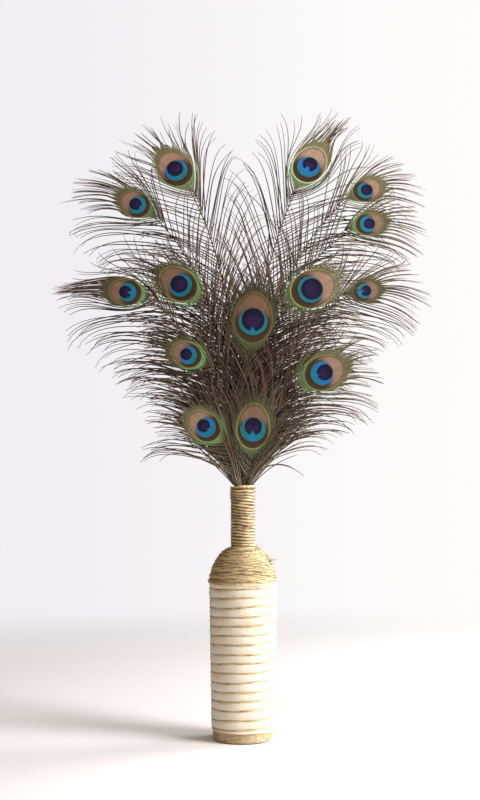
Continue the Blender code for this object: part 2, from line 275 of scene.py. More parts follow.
class Tree:
    """Short calls that add and join the nodes of one node tree."""

    def __init__(self, tree):
        self.tree = tree

    def add(self, kind, **settings):
        node = self.tree.nodes.new(kind)
        for name, value in settings.items():
            setattr(node, name, value)
        return node

    def place(self, kind, tree=None, **values):
        """The outputs of a new node, or of a group's, whose named inputs are fed."""
        node = self.add(kind, node_tree=tree) if tree else self.add(kind)
        self.fill(node.inputs, values)
        return node.outputs

    def fill(self, sockets, values):
        for name, value in values.items():
            self.feed(sockets[name], value)

    def feed(self, socket, value):
        """Join an output to a socket, or set the socket to a plain value."""
        if isinstance(value, bpy.types.NodeSocket):
            self.tree.links.new(value, socket)
        elif socket.type == "RGBA" and len(value) == 3:
            socket.default_value = (*value, 1)
        else:
            socket.default_value = value

    def math(self, operation, *values, clamp=False):
        node = self.add("ShaderNodeMath", operation=operation, use_clamp=clamp)
        for socket, value in zip(node.inputs, values):
            self.feed(socket, value)
        return node.outputs[0]

    def times(self, first, second):
        return self.math("MULTIPLY", first, second)

    def plus(self, first, second, clamp=False):
        return self.math("ADD", first, second, clamp=clamp)

    def minus(self, first, second):
        return self.math("SUBTRACT", first, second)

    def step(self, value, low, high, start=0.0, end=1.0):
        """Rises smoothly from start to end while the value goes from low to high."""
        node = self.add("ShaderNodeMapRange", interpolation_type="SMOOTHSTEP")
        for socket, given in zip(node.inputs, (value, low, high, start, end)):
            self.feed(socket, given)
        return node.outputs[0]

    def mix(self, share, first, second, blend="MIX"):
        node = self.add("ShaderNodeMix", data_type="RGBA", blend_type=blend)
        for number, value in zip(MIX_INPUTS, (share, first, second)):
            self.feed(node.inputs[number], value)
        return node.outputs[MIX_RESULT]

    def oval(self, across, along, half_across, half_along, shift=0.0):
        """1 on an oval's edge, less inside it. Its middle lies at along = shift."""
        wide = self.math("POWER", self.math("DIVIDE", across, half_across), 2.0)
        moved = self.math("ABSOLUTE", self.minus(along, shift))
        tall = self.math("POWER", self.math("DIVIDE", moved, half_along), 2.0)
        return self.math("SQRT", self.plus(wide, tall))

    def noise(self, scale, detail=2.0, vector=None, stretch=None):
        """Noise on the object's own coordinates, stretched along an axis where asked."""
        if vector is None:
            vector = self.add("ShaderNodeTexCoord").outputs["Object"]
        if stretch:
            vector = self.place("ShaderNodeMapping", Vector=vector, Scale=stretch)[0]
        return self.place("ShaderNodeTexNoise", Vector=vector, Scale=scale, Detail=detail)[0]

    def attribute(self, name):
        """The three parts of a piece's own vector attribute."""
        node = self.add("ShaderNodeAttribute", attribute_name=name)
        return self.place("ShaderNodeSeparateXYZ", Vector=node.outputs["Vector"])


def new_group(name, inputs, outputs):
    """An empty shader node group with named sockets: a colour called Color and plain numbers."""
    group = bpy.data.node_groups.new(name, "ShaderNodeTree")
    for way, labels in (("INPUT", inputs), ("OUTPUT", outputs)):
        for label in labels:
            kind = "NodeSocketColor" if label == "Color" else "NodeSocketFloat"
            group.interface.new_socket(label, in_out=way, socket_type=kind)
    tree = Tree(group)
    return group, tree, tree.add("NodeGroupInput").outputs, tree.add("NodeGroupOutput").inputs


def new_material(name, roughness, metallic=0.0, specular=0.5):
    material = bpy.data.materials.new(name)
    material.use_nodes = True
    tree = Tree(material.node_tree)
    shader = material.node_tree.nodes["Principled BSDF"].inputs
    tree.fill(shader, {"Roughness": roughness, "Metallic": metallic})
    tree.feed(shader["Specular IOR Level"], specular)
    return material, tree, shader


def add_bump(tree, shader, height, strength, distance):
    bump = tree.place("ShaderNodeBump", Strength=strength, Distance=distance, Height=height)
    tree.feed(shader["Normal"], bump[0])


def eye_group(colours):
    """The rings of a tail feather's eye, from a place measured in widths of its blue spot."""
    found = bpy.data.node_groups.get("feather eye")
    if found:
        return found
    group, tree, given, made = new_group(
        "feather eye",
        ("Across", "Along", *(field.capitalize() for field in Look._fields)),
        ("Color", "Eye", "Distance"),
    )
    across = tree.math("ABSOLUTE", given["Across"])
    along = given["Along"]
    pale = given["Pale"]
    tip_side = tree.math("GREATER_THAN", along, 0.0)
    reach = tree.math("MULTIPLY_ADD", tip_side, 0.18, 0.78)
    ring = tree.oval(across, along, given["Width"], reach)
    spot = tree.oval(across, along, 0.50, 0.47, -0.04)
    wide = given["Heart"]
    heart = tree.oval(across, along, wide, wide, tree.minus(0.42, wide))

    tan = tree.mix(pale, colours.bronze, colours.sand)
    rings = tree.mix(tree.step(along, -0.25, 0.55), colours.umber, tan)
    rings = tree.mix(tree.step(ring, 0.82, 0.95, 0.0, 0.6), rings, colours.moss)
    bright = tree.mix(tree.step(pale, 0.7, 1.0), colours.line, colours.pale_line)
    share = tree.times(given["Line"], tree.step(along, 0.3, 0.95, 1.0, 0.55))
    line = tree.mix(share, colours.dim_line, bright)
    rings = tree.mix(tree.step(ring, 0.95, 0.98), rings, line)
    foot = tree.mix(given["Mint"], colours.moss, colours.mint)
    rim = tree.mix(tree.step(along, -0.40, 0.25), foot, tree.mix(pale, colours.moss, colours.olive))
    rings = tree.mix(tree.step(ring, 1.015, 1.06), rings, rim)

    # A dark line lies under the blue spot on the shaft's side.
    low = tree.step(along, 0.35, 0.0, 0.0, 0.75)
    shade = tree.times(tree.step(spot, 1.20, 1.04), low)
    rings = tree.mix(shade, rings, (0.012, 0.016, 0.012))
    blue = tree.mix(tree.step(along, -0.48, 0.1), colours.teal, colours.azure)
    blue = tree.mix(tree.times(given["Tone"], 0.85), blue, colours.teal)

    # The notch in the heart opens towards the shaft and shows a clearer blue.
    rise = tree.minus(tree.math("MULTIPLY_ADD", across, 1.5, along), given["Notch"])
    closed = tree.step(rise, -0.06, 0.06)
    blue = tree.mix(tree.times(tree.step(closed, 1.0, 0.0), 0.4), blue, colours.azure)
    blue = tree.mix(tree.step(spot, 0.80, 1.0, 0.0, 0.75), blue, colours.verdigris)
    rings = tree.mix(tree.step(spot, 1.03, 0.95), rings, blue)
    dark = tree.times(tree.step(heart, 1.07, 0.92), closed)
    deep = tree.mix(tree.step(heart, 0.25, 0.95), colours.heart, (0.004, 0.005, 0.016))
    purple = tree.times(tree.step(heart, 0.98, 0.40), tree.step(along, 0.28, -0.06))
    deep = tree.mix(purple, deep, colours.plum)
    rings = tree.mix(dark, rings, deep)

    tree.fill(made, {"Color": rings, "Eye": tree.step(ring, 1.40, 1.14), "Distance": ring})
    return group


def barb_material(colours, number, look):
    """Barbs: the eye's rings where they lie together, maroon-brown where they run loose."""
    material, tree, shader = new_material(f"barbs {number:02d}", 0.5, specular=0.16)
    across, along, _ = tree.attribute("eye_place")
    share, tint, low = tree.attribute("strand")
    own = {field.capitalize(): value for field, value in look._asdict().items()}
    eye = tree.place("ShaderNodeGroup", eye_group(colours), Across=across, Along=along, **own)
    inside = eye["Eye"]

    olive = tree.mix(look.pale, colours.moss, colours.olive)
    loose = tree.mix(tree.step(share, 0.15, 0.95), colours.barb, colours.barb_tip)
    grey = tree.times(low, tree.step(share, 0.70, 0.25))
    loose = tree.mix(grey, loose, colours.throat)
    few = tree.step(tint, 0.70, 0.92, 0.0, 0.5)
    gilded = tree.times(few, tree.step(share, 0.95, 0.35))
    loose = tree.mix(gilded, loose, colours.gilt)
    loose = tree.mix(tree.step(eye["Distance"], 2.0, 1.2, 0.0, 0.8), loose, olive)
    whole = tree.mix(inside, loose, eye["Color"])
    # Each barb is a little lighter or darker than its neighbour, least so within the eye.
    swing = tree.math("MULTIPLY_ADD", inside, -0.28, 0.56)
    lift = tree.math("MULTIPLY_ADD", tree.minus(tint, 0.5), swing, 1.0)
    even = tree.place("ShaderNodeCombineColor", Red=lift, Green=lift, Blue=lift)[0]
    tree.feed(shader["Base Color"], tree.mix(1.0, whole, even, "MULTIPLY"))
    tree.feed(shader["Roughness"], tree.step(inside, 0.0, 1.0, 0.52, 0.44))
    # Fine ribs across each barb, as its barbules lie.
    ribs = tree.math("SINE", tree.times(share, RIB_TURNS))
    add_bump(tree, shader, ribs, 0.15, FINE_BUMP)
    return material


def shaft_material(colours):
    material, tree, shader = new_material("feather shaft", 0.38)
    share, _, _ = tree.attribute("strand")
    dusk = tree.mix(tree.step(share, 0.25, 0.9), colours.shaft, colours.barb)
    grain = tree.noise(900, stretch=(1, 1, 0.05))
    streaks = tree.step(grain, 0.35, 0.7, 0.0, 0.4)
    tree.feed(shader["Base Color"], tree.mix(streaks, dusk, colours.umber))
    add_bump(tree, shader, grain, 0.2, FINE_BUMP)
    return material


def thread_group(colours):
    """Fine twisted metal-look thread: strands, painted shade in its dips and patches, and painted
    glints.
    """
    found = bpy.data.node_groups.get("gold thread")
    if found:
        return found
    group, tree, given, made = new_group(
        "gold thread",
        ("Twist", "Tint", "Shade", "Glitter", "Color"),
        ("Color", "Roughness", "Height"),
    )
    place = tree.add("ShaderNodeTexCoord").outputs["Object"]
    cells = tree.place("ShaderNodeTexVoronoi", Vector=place, Scale=GLINTS_PER_METRE)
    sparkle = tree.place("ShaderNodeSeparateColor", Color=cells["Color"])
    # Random glitter cells are made smoother, as glitter is, and painted a brighter gold as painted
    # glints.
    glint = tree.times(tree.step(sparkle[0], 0.55, 0.95), given["Glitter"])
    twist = tree.math("SINE", given["Twist"])
    # Painted shade: the thread is painted darker in random patches along it and where its twist
    # dips.
    painted_shade_patches = tree.noise(120, vector=place, stretch=(1, 1, 5))
    painted_dip_shade = tree.step(twist, 0.2, -0.9, 0.0, 0.35)
    dark = tree.plus(painted_dip_shade, tree.step(painted_shade_patches, 0.5, 0.75, 0.0, 0.6))
    dark = tree.plus(dark, tree.step(given["Tint"], 0.5, 1.0, 0.0, 0.5))
    # More painted shade where a point's shade asks for it: the dips between the neck's ridges, the
    # lower rim turns and the shoulder's earlier layers.
    dark = tree.plus(dark, tree.step(given["Shade"], 0.3, 0.95, 0.0, 1.0), clamp=True)
    base = tree.mix(dark, given["Color"], colours.brown)
    # The glitter cells take the painted glint colour.
    tree.feed(made["Color"], tree.mix(glint, base, (1.0, 0.86, 0.55)))
    tree.feed(made["Roughness"], tree.minus(0.42, tree.times(glint, 0.25)))
    tree.feed(made["Height"], tree.plus(twist, sparkle[1]))
    return group


def thread_material(name, colours, colour, glitter_and_glint, metallic, twist=THREAD_TWIST):
    """Metal-look thread; twist is how far it turns about itself from end to end, in radians."""
    material, tree, shader = new_material(name, 0.4, metallic=metallic, specular=0.8)
    share, tint, shade = tree.attribute("strand")
    turns = tree.times(share, twist)
    own = {"Twist": turns, "Tint": tint, "Shade": shade, "Glitter": glitter_and_glint, "Color": colour}
    thread = tree.place("ShaderNodeGroup", thread_group(colours), **own)
    tree.fill(shader, {"Base Color": thread["Color"], "Roughness": thread["Roughness"]})
    add_bump(tree, shader, thread["Height"], 0.5, FINE_BUMP)
    return material


def band_material(colours):
    """Soft white wadding: fine fibres, a slight mottle and warmer, darker dips, partly the thread's
    gold fuzz and partly painted shade.
    """
    material, tree, shader = new_material("white band", 0.85, specular=0.25)
    fibres = tree.noise(1400, 4, stretch=(1, 1, 2.2))
    mottle = tree.noise(70, 3)
    stains = tree.noise(24, 4)
    groove, _, _ = tree.attribute("groove")
    # The grooves beside the gold line are painted a darker gold-brown in patches: partly the
    # thread's gold fuzz, partly painted shade in the recess.
    groove_patchiness = tree.step(mottle, 0.35, 0.65, 0.25, 0.8)
    groove_fuzz_and_shade = tree.times(tree.step(groove, 0.15, 1.0), groove_patchiness)
    base = tree.mix(tree.step(mottle, 0.4, 0.75, 0.0, 0.6), colours.cream, linear(224, 209, 182))
    base = tree.mix(tree.step(stains, 0.5, 0.75, 0.0, 0.45), base, linear(206, 178, 136))
    base = tree.mix(tree.step(fibres, 0.55, 0.8, 0.0, 0.35), base, linear(205, 188, 158))
    tree.feed(shader["Base Color"], tree.mix(groove_fuzz_and_shade, base, linear(176, 142, 88)))
    add_bump(tree, shader, fibres, 0.8, 0.0008)
    shader["Sheen Weight"].default_value = 0.3
    return material


def glass_material(colours):
    material, tree, shader = new_material("bottle glass", 0.06)
    tree.fill(shader, {"Base Color": colours.glass, "Transmission Weight": 1.0, "IOR": 1.5})
    add_bump(tree, shader, tree.noise(60, 1), 0.15, 0.0005)
    return material


def add_object(name, data):
    item = bpy.data.objects.new(name, data)
    bpy.context.scene.collection.objects.link(item)
    return item


def add_piece(name, mesh, slot, node, *materials):
    """Hand a finished piece to the frame: what it rides on, its materials and what it stands for.
    The slot is not used.
    """
    for material in materials:
        mesh.materials.append(material)
    item = add_object(name, mesh)
    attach(item, BODY)
    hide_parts(node)


def store(mesh, name, values):
    """Keep three numbers on each point of a mesh, for its materials to read."""
    values = np.array(values, np.float32)
    if len(values) != len(mesh.vertices):
        raise RuntimeError(f"{mesh.name}: {len(values)} values for {len(mesh.vertices)} points")
    layer = mesh.attributes.new(name, "FLOAT_VECTOR", "POINT")
    layer.data.foreach_set("vector", values.ravel())


def to_mesh(shape, name):
    mesh = bpy.data.meshes.new(name)
    shape.to_mesh(mesh)
    shape.free()
    return mesh


def curve_mesh(name, splines, section=None, depth=0.0, resolution=1):
    """Sweep a section along open runs of (x, y, z, scale) points and return the mesh."""
    curve = bpy.data.curves.new(name, "CURVE")
    curve.dimensions = "3D"
    curve.twist_mode = "Z_UP" if section else "MINIMUM"
    if section:
        curve.bevel_mode = "OBJECT"
        curve.bevel_object = section
    else:
        curve.bevel_depth = depth
        curve.bevel_resolution = resolution
    for points in splines:
        spline = curve.splines.new("POLY")
        spline.points.add(len(points) - 1)
        spline.points.foreach_set("co", [v for x, y, z, _ in points for v in (x, y, z, 1)])
        spline.points.foreach_set("radius", [scale for *_, scale in points])
    holder = add_object(name, curve)
    graph = bpy.context.evaluated_depsgraph_get()
    mesh = bpy.data.meshes.new_from_object(holder.evaluated_get(graph))
    bpy.data.objects.remove(holder)
    bpy.data.curves.remove(curve)
    return mesh


def flat_section(name, thickness):
    """A slim diamond one unit wide each way, used as the section of a barb."""
    curve = bpy.data.curves.new(name, "CURVE")
    spline = curve.splines.new("POLY")
    corners = ((1, 0), (0, thickness), (-1, 0), (0, -thickness))
    spline.points.add(len(corners) - 1)
    for point, (x, y) in zip(spline.points, corners):
        point.co = (x, y, 0, 1)
    spline.use_cyclic_u = True
    return bpy.data.objects.new(name, curve)


def mark_strands(mesh, strands, sides):
    """Store on each point its share of the way along its strand, its tint and its shade."""
    values = []
    for strand in strands:
        last = len(strand.places) - 1
        for index in range(last + 1):
            shade = strand.shade if isinstance(strand.shade, float) else strand.shade[index]
            values.extend([(index / last, strand.tint, shade)] * sides)
    store(mesh, "strand", values)


def lay_strips(mesh, groups):
    """A map for baking, on which each strand is a straight strip of its own."""
    total = sum(len(strands) for strands, _ in groups)
    places, row = [], 0
    for strands, sides in groups:
        for strand in strands:
            last = len(strand.places) - 1
            for index in range(last + 1):
                along = 0.002 + 0.996 * index / last
                for corner in range(sides):
                    across = 1 - abs(1 - 2 * corner / sides)
                    places.append((along, (row + 0.15 + 0.7 * across) / total))
            row += 1
    if len(places) != len(mesh.vertices):
        raise RuntimeError(f"{mesh.name}: {len(places)} map places, {len(mesh.vertices)} points")
    vertex = np.empty(len(mesh.loops), np.int32)
    mesh.loops.foreach_get("vertex_index", vertex)
    layer = mesh.uv_layers.new(name=BAKE_MAP)
    layer.uv.foreach_set("vector", np.array(places, np.float32)[vertex].ravel())


def joined(name, meshes, flat=None):
    """One closed mesh of several open-ended ones, each with a material number of its own."""
    shape = bmesh.new()
    for number, mesh in enumerate(meshes):
        known = len(shape.faces)
        shape.from_mesh(mesh)
        bmesh.ops.holes_fill(shape, edges=[e for e in shape.edges if e.is_boundary])
        shape.faces.ensure_lookup_table()
        for face in shape.faces[known:]:
            face.material_index = number
            face.smooth = number != flat
        bpy.data.meshes.remove(mesh)
    bmesh.ops.recalc_face_normals(shape, faces=shape.faces)
    return to_mesh(shape, name)


# Feathers


def heading(angle):
    return Vector((sin(angle), cos(angle)))


def smooth(value, low, high):
    share = min(max((value - low) / (high - low), 0), 1)
    return share * share * (3 - 2 * share)


def shaft_line(number):
    """The shaft above the mouth as flat (x, z) points, from upright to the eye's own heading."""
    feather = FEATHERS[number]
    foot = Vector((QUILL_COLUMNS[number % len(QUILL_COLUMNS)], MOUTH_Z))
    eye = Vector((feather.eye_x, feather.eye_z))
    length = (eye - foot).length
    rise = foot + Vector((0, RISE_SHARE * length))
    reach = eye - heading(radians(feather.tip_deg)) * REACH_SHARE * length
    return [p.xy for p in interpolate_bezier(foot, rise, reach, eye, SHAFT_POINTS)]


def on_line(line, down):
    """The point and heading at a distance down the shaft from the eye."""
    for first, last in zip(line[-2::-1], line[:0:-1]):
        way = last - first
        if down <= way.length:
            return last - way * (down / way.length), atan2(way.x, way.y)
        down -= way.length
    return line[0] - way.normalized() * down, atan2(way.x, way.y)


# How far from its axis the mouth lets barbs through, and how far in front of the shafts they lie.
MOUTH_REACH = 0.0088
THROAT_FORWARD = 0.0012
# Two barbs of the front feather that hang out of the throat's right side, as curves in its plane.
STRAY_BARBS = (
    ((0.0060, 0.3003), (0.0220, 0.3300), (0.0480, 0.3360), (0.0770, 0.3085)),
    ((0.0056, 0.3003), (0.0190, 0.3280), (0.0430, 0.3320), (0.0610, 0.3200)),
)
SHAFT_POINTS = 40
FAN_STEPS = 16
LOOSE_STEPS = 12
# Where the fan's first barb leaves the shaft, how far down its last does, in eye widths, and the
# half-angle of a tuft that is fully open.
FAN_TOP = 0.20
FAN_DROP = 1.5
FULL_SPREAD = radians(34)
# How far in front of its feather's plane, or behind it, a group of barbs ends.
LOOSE_DEPTHS = (-0.004, 0.010)
THROAT_DEPTHS = (-0.006, 0.004)
# How far the shaft lies behind its barbs.
SHAFT_BEHIND = 0.0022
# No barb tapers to less than this half-width.
THINNEST_FAN_BARB = 0.00016
THINNEST_LOOSE_BARB = 0.00014
# A feather this far behind another can't reach past it with a barb.
CLEAR_DEPTH = 0.0125
# How much of an eye is kept clear of barbs in front, in eye widths, and the share of the loose
# barbs that may still cross one.
EYE_REACH = 0.62
LET_THROUGH = 0.004


def fan_barb(order, tuft, spread, turn, reach, hook):
    """One side's barb of the fan in eye widths: order 0 lies on the axis, 1 rounds the eye."""
    start = Vector((-0.03, FAN_TOP - FAN_DROP * order))
    leave = radians(46) * min(order, 1.15) ** 0.8
    # A narrow tuft draws its barbs in again, so they leave more strongly to get round the eye.
    bulge = 1 + 1.1 * (1 - spread / FULL_SPREAD)
    first = start + heading(leave) * (0.45 + 0.95 * order * bulge)
    far = (tuft + 1) * reach * (1 - 0.06 * order * order)
    tip = Vector((0, -1)) + heading(turn) * far
    second = tip - heading(turn + hook) * (0.9 + 0.5 * min(order, 1))
    return [p.xy for p in interpolate_bezier(start, first, second, tip, FAN_STEPS + 1)]


def eye_zone(place):
    """1 where the eye's closed disc ends, less inside it. Places are in eye widths."""
    return hypot(place.x / 0.80, place.y / (1.12 if place.y > 0 else 0.95))


def loose_barb(start, angle, side, length, curl, droop):
    """A loose barb leaves the shaft nearly straight, sags, and hooks outwards at its tip."""
    points = [start]
    for step in range(LOOSE_STEPS):
        share = (step + 0.5) / LOOSE_STEPS
        hook = side * curl * 5.5 * share**4.5
        angle += (hook + droop * sin(angle) * 2 * share) / LOOSE_STEPS
        points.append(points[-1] + heading(angle) * length / LOOSE_STEPS)
    return points


def resampled(points):
    """The same run with as many evenly spaced points as a loose barb has."""
    last = len(points) - 1
    made = []
    for step in range(LOOSE_STEPS + 1):
        place = step / LOOSE_STEPS * last
        low = min(int(place), last - 1)
        made.append(points[low].lerp(points[low + 1], place - low))
    return made


def barb_length(share, longest):
    """Barbs grow a little longer from the foot of the vane to its middle."""
    return longest * (1.0 + 0.14 * sin(pi / 2 * min(1, share * 2.5)))


class FeatherBuilder:
    """Works out the barbs of one feather in its own flat plane, then lays them in place."""

    def __init__(self, number, settings, row=()):
        self.number = number
        self.settings = settings
        self.feather = FEATHERS[number]
        self.line = shaft_line(number)
        self.length = sum((b - a).length for a, b in zip(self.line, self.line[1:]))
        self.forward = heading(radians(self.feather.tip_deg))
        self.across = Vector((self.forward.y, -self.forward.x))
        self.eye = self.line[-1]
        self.size = self.feather.eye_size
        self.tuft = self.feather.tuft / self.size
        self.spread = radians(self.feather.spread)
        self.random = random.Random(FEATHER_SEED + number)
        self.front = FRONT_QUILL_Y + QUILL_STEP_Y * number
        self.lean = FRONT_LEAN + LEAN_STEP * number
        self.row = [FeatherBuilder(other, settings) for other in row]

    def plane_y(self, z):
        return self.front + self.lean * max(0, z - MOUTH_Z)

    def from_eye(self, place):
        """Flat (x, z) of a place given in eye widths, with the tuft sagging a little."""
        sag = self.feather.bend * max(0, place.y - 0.6) ** 2
        return self.eye + (self.across * (place.x + sag) + self.forward * place.y) * self.size

    def fan(self):
        """Barbs that lie side by side and make the eye, spread into a tuft beyond it."""
        count, tuft, spread = self.settings.eye_barbs, self.tuft, self.spread
        pick = self.random.uniform
        strands = []
        for side in (-1, 1):
            runs, index = [], 0
            while index < count:
                group = min(self.random.choice((1, 2, 2, 3, 4, 5)), count - index)
                middle = (index + group / 2) / count
                shift, reach, hook = pick(-0.09, 0.09), pick(0.82, 1.10), pick(-0.1, 0.5)
                cling = pick(0.55, 1.0)
                for order in ((index + step + 0.5) / count for step in range(group)):
                    even = fan_barb(order, tuft, spread, spread * order**1.1, 1, 0.12 * order)
                    place = order + (middle - order) * cling
                    turn = spread * (place**1.1 + shift) + pick(-0.01, 0.01)
                    own = reach * pick(0.95, 1.03)
                    bend = hook * order + pick(-0.04, 0.04)
                    free = fan_barb(place, tuft, spread, turn, own, bend)
                    # Barbs hold together inside the eye and part into clumps beyond it.
                    parted = [smooth(eye_zone(p), 0.96, 1.6) if p.y > -0.6 else 0.0 for p in even]
                    runs.append([a.lerp(b, part) for a, b, part in zip(even, free, parted)])
                index += group
            for index, run in enumerate(runs):
                neighbours = [runs[i] for i in (index - 1, index + 1) if 0 <= i < count]
                strands.append(self.fan_strand(run, neighbours, side))
        return strands

    def fan_strand(self, run, neighbours, side):
        thin = self.settings.barb_width * self.random.uniform(0.28, 0.44)
        lift = self.random.uniform(-0.0001, 0.0001)
        back = self.random.uniform(-0.002, 0.008)
        places, widths = [], []
        last = len(run) - 1
        for index, point in enumerate(run):
            low, high = run[max(index - 1, 0)], run[min(index + 1, last)]
            way = (high - low).normalized()
            cover = max(abs((other[index] - point).cross(way)) for other in neighbours)
            inside = 1 - smooth(eye_zone(point), 0.84, 1.06)
            share = index / last
            taper = 1 - 0.6 * smooth(share, 0.6, 1)
            width = inside * 0.62 * min(cover, 0.09) * self.size + (1 - inside) * thin * taper
            flat = self.from_eye(Vector((point.x * side, point.y)))
            cup = 0.05 * self.size * (point.x**2 + 0.3 * point.y**2)
            places.append((flat.x, flat.y, lift + cup + back * smooth(share, 0.5, 1)))
            widths.append(max(width, THINNEST_FAN_BARB))
        return Strand(places, widths, self.random.random())

    def seen(self, point):
        """Where a flat (x, z) place is seen from the front, as slopes from the camera."""
        eye = Vector(CAMERA_PLACE)
        depth = self.plane_y(point.y) - eye.y
        return Vector(((point.x - eye.x) / depth, (point.y - eye.z) / depth))

    def hides_eye(self, run, near=0, own=False):
        """Whether a barb would cross the eye of a feather behind, or of some just in front."""
        for builder in self.row:
            if builder.number < self.number - near or (builder.number == self.number and not own):
                continue
            height = builder.eye.y
            depth = builder.plane_y(height)
            if self.plane_y(height) - depth > CLEAR_DEPTH:
                continue
            middle = builder.seen(builder.eye)
            reach = EYE_REACH * builder.size / (depth - CAMERA_PLACE[1])
            if any((self.seen(point) - middle).length < reach for point in run):
                return True
        return False

    def loose(self):
        """Barbs that run free on both sides of the shaft, from the fan down to the mouth."""
        size, gap, made = self.size, self.settings.loose_gap, []
        top = (FAN_DROP - FAN_TOP) * size
        bottom = self.length - 0.003
        for side, longest in ((-1, self.feather.left), (1, self.feather.right)):
            runs, down = [], top
            while down < bottom:
                even = smooth(down, top, top + 0.8 * size)
                dense = 0.62 + 0.38 * smooth(self.length - down, 0.11, 0.29)
                down += (0.08 * size) * (1 - even) + gap * dense * even
                run = self.loose_run(min(down, bottom), side, longest)
                if self.random.random() < LET_THROUGH or not self.hides_eye(run, near=1):
                    runs.append(run)
                down += self.random.uniform(-0.25, 0.25) * gap
            made.extend(self.clumped(runs))
        return made + self.clumped(self.throat(), THROAT_DEPTHS, 1.0, -THROAT_FORWARD)

    def loose_run(self, down, side, longest):
        pick = self.random.uniform
        start, angle = on_line(self.line, down)
        share = 1 - down / self.length
        length = barb_length(share, longest) * pick(0.9, 1.06)
        outer = smooth(side * angle, -0.35, 0.35)
        leave = radians(26 + 20 * outer + pick(-5, 5))
        if pick(0, 1) < 0.05:
            leave += radians(pick(-20, 20))
        curl = self.settings.curl * pick(0.2, 1.6)
        droop = self.settings.droop * pick(0.7, 1.3)
        run = loose_barb(start, angle + side * leave, side, length, curl, droop)
        order = (down / self.size + FAN_TOP) / FAN_DROP
        if order < 1.7:
            turn = self.spread * order**1.1
            rounding = fan_barb(order, self.tuft, self.spread, turn, pick(0.94, 1.12), pick(0, 0.4))
            rounding = [self.from_eye(Vector((p.x * side, p.y))) for p in rounding]
            weight = smooth(order, 0.95, 1.7)
            run = [a.lerp(b, weight) for a, b in zip(resampled(rounding), run)]
        return run

    def throat(self):
        """The lowest barbs, pressed together in the neck and bending out over its rim."""
        pick = self.random.uniform
        half = (MOUTH_REACH**2 - (self.front - THROAT_FORWARD) ** 2) ** 0.5
        runs = []
        for share in sorted(pick(-1, 1) for _ in range(self.settings.throat_barbs)):
            low = Vector((self.line[0].x, MOUTH_Z - pick(0.012, 0.035)))
            mouth = Vector((half * share, MOUTH_Z + GAP))
            over = mouth + Vector((0.0038 * share, 0.0026))
            points = [low, low.lerp(mouth, 0.5), mouth, over]
            side = share * half / MOUTH_REACH
            length, turn = pick(0.055, 0.105), pick(-0.1, 0.1)
            steps = LOOSE_STEPS - 3
            for step in range(steps):
                done = (step + 0.5) / steps
                now = side * radians(36 + 34 * done) + turn
                points.append(points[-1] + heading(now) * length / steps)
            if not self.hides_eye(points, near=4, own=True):
                runs.append(points)
        if self.number == 0:
            for stray in STRAY_BARBS:
                bends = [Vector(point) for point in stray]
                runs.append([p.xy for p in interpolate_bezier(*bends, LOOSE_STEPS + 1)])
        return runs

    def clumped(self, runs, depths=LOOSE_DEPTHS, shade=None, start=0.0):
        """Draw the tips of a few neighbours together, as barbs cling, and part them in depth."""
        strands, index = [], 0
        while index < len(runs):
            group = runs[index : index + self.random.choice((1, 2, 3, 4, 5))]
            cling = self.random.choice((0.0, 0.1, 0.25, 0.6))
            reach = self.random.uniform(*depths)
            for run in group:
                low = 0.8 * (1 - smooth(run[0].y - MOUTH_Z, 0.01, 0.13)) if shade is None else shade
                strands.append(self.loose_strand(self.drawn(run, group, cling), reach, low, start))
            index += len(group)
        return strands

    def drawn(self, run, group, cling):
        """The run with its tip drawn to its group's middle, where that leaves the eyes clear."""
        points, last = [], len(run) - 1
        for index, point in enumerate(run):
            middle = sum((other[index] for other in group), Vector((0, 0))) / len(group)
            points.append(point.lerp(middle, cling * smooth(index / last, 0.3, 1) ** 1.5))
        return run if self.hides_eye(points, near=1) else points

    def loose_strand(self, run, reach, shade, start):
        thick = self.settings.barb_width / 2 * self.random.uniform(0.8, 1.15)
        own = self.random.uniform(-0.0025, 0.0025)
        last = len(run) - 1
        places, widths = [], []
        for index, point in enumerate(run):
            share = index / last
            places.append((point.x, point.y, start + (reach + own) * smooth(share, 0, 1)))
            widths.append(max(thick * (1 - 0.62 * share**3), THINNEST_LOOSE_BARB))
        return Strand(places, widths, self.random.random(), shade)

    def shaft(self):
        """The quill and shaft from the bottle's floor to the eye."""
        foot = Vector((self.line[0].x, FLOOR_THICKNESS + GAP))
        path = [foot, *(p for p in self.line if (p - self.eye).length > 0.55 * self.size)]
        places, widths = [], []
        for index, point in enumerate(path):
            share = index / (len(path) - 1)
            places.append((point.x, point.y, SHAFT_BEHIND * smooth(share, 0.03, 0.2)))
            widths.append(QUILL_RADIUS + (SHAFT_TIP_RADIUS - QUILL_RADIUS) * share)
        return Strand(places, widths, 0.5)

    def mesh(self, section, strands, name):
        """Sweep flat strands and stand them up in the feather's leaning plane."""
        splines = [
            [(x, z, -back, width) for (x, z, back), width in zip(s.places, s.widths)]
            for s in strands
        ]
        mesh = curve_mesh(name, splines, section, depth=1.0, resolution=2)
        flat = np.empty(len(mesh.vertices) * 3, np.float32)
        mesh.vertices.foreach_get("co", flat)
        flat = flat.reshape(-1, 3)
        mark_strands(mesh, strands, len(mesh.vertices) // sum(len(s.places) for s in strands))
        from_eye = flat[:, :2] - np.array(self.eye)
        place = np.zeros_like(flat)
        place[:, 0] = from_eye @ np.array(self.across) / self.size
        place[:, 1] = from_eye @ np.array(self.forward) / self.size
        store(mesh, "eye_place", place)
        stood = flat[:, [0, 2, 1]]
        stood[:, 1] = self.front + self.lean * np.maximum(0, flat[:, 1] - MOUTH_Z) - flat[:, 2]
        mesh.vertices.foreach_set("co", stood.ravel())
        mesh.update()
        return mesh

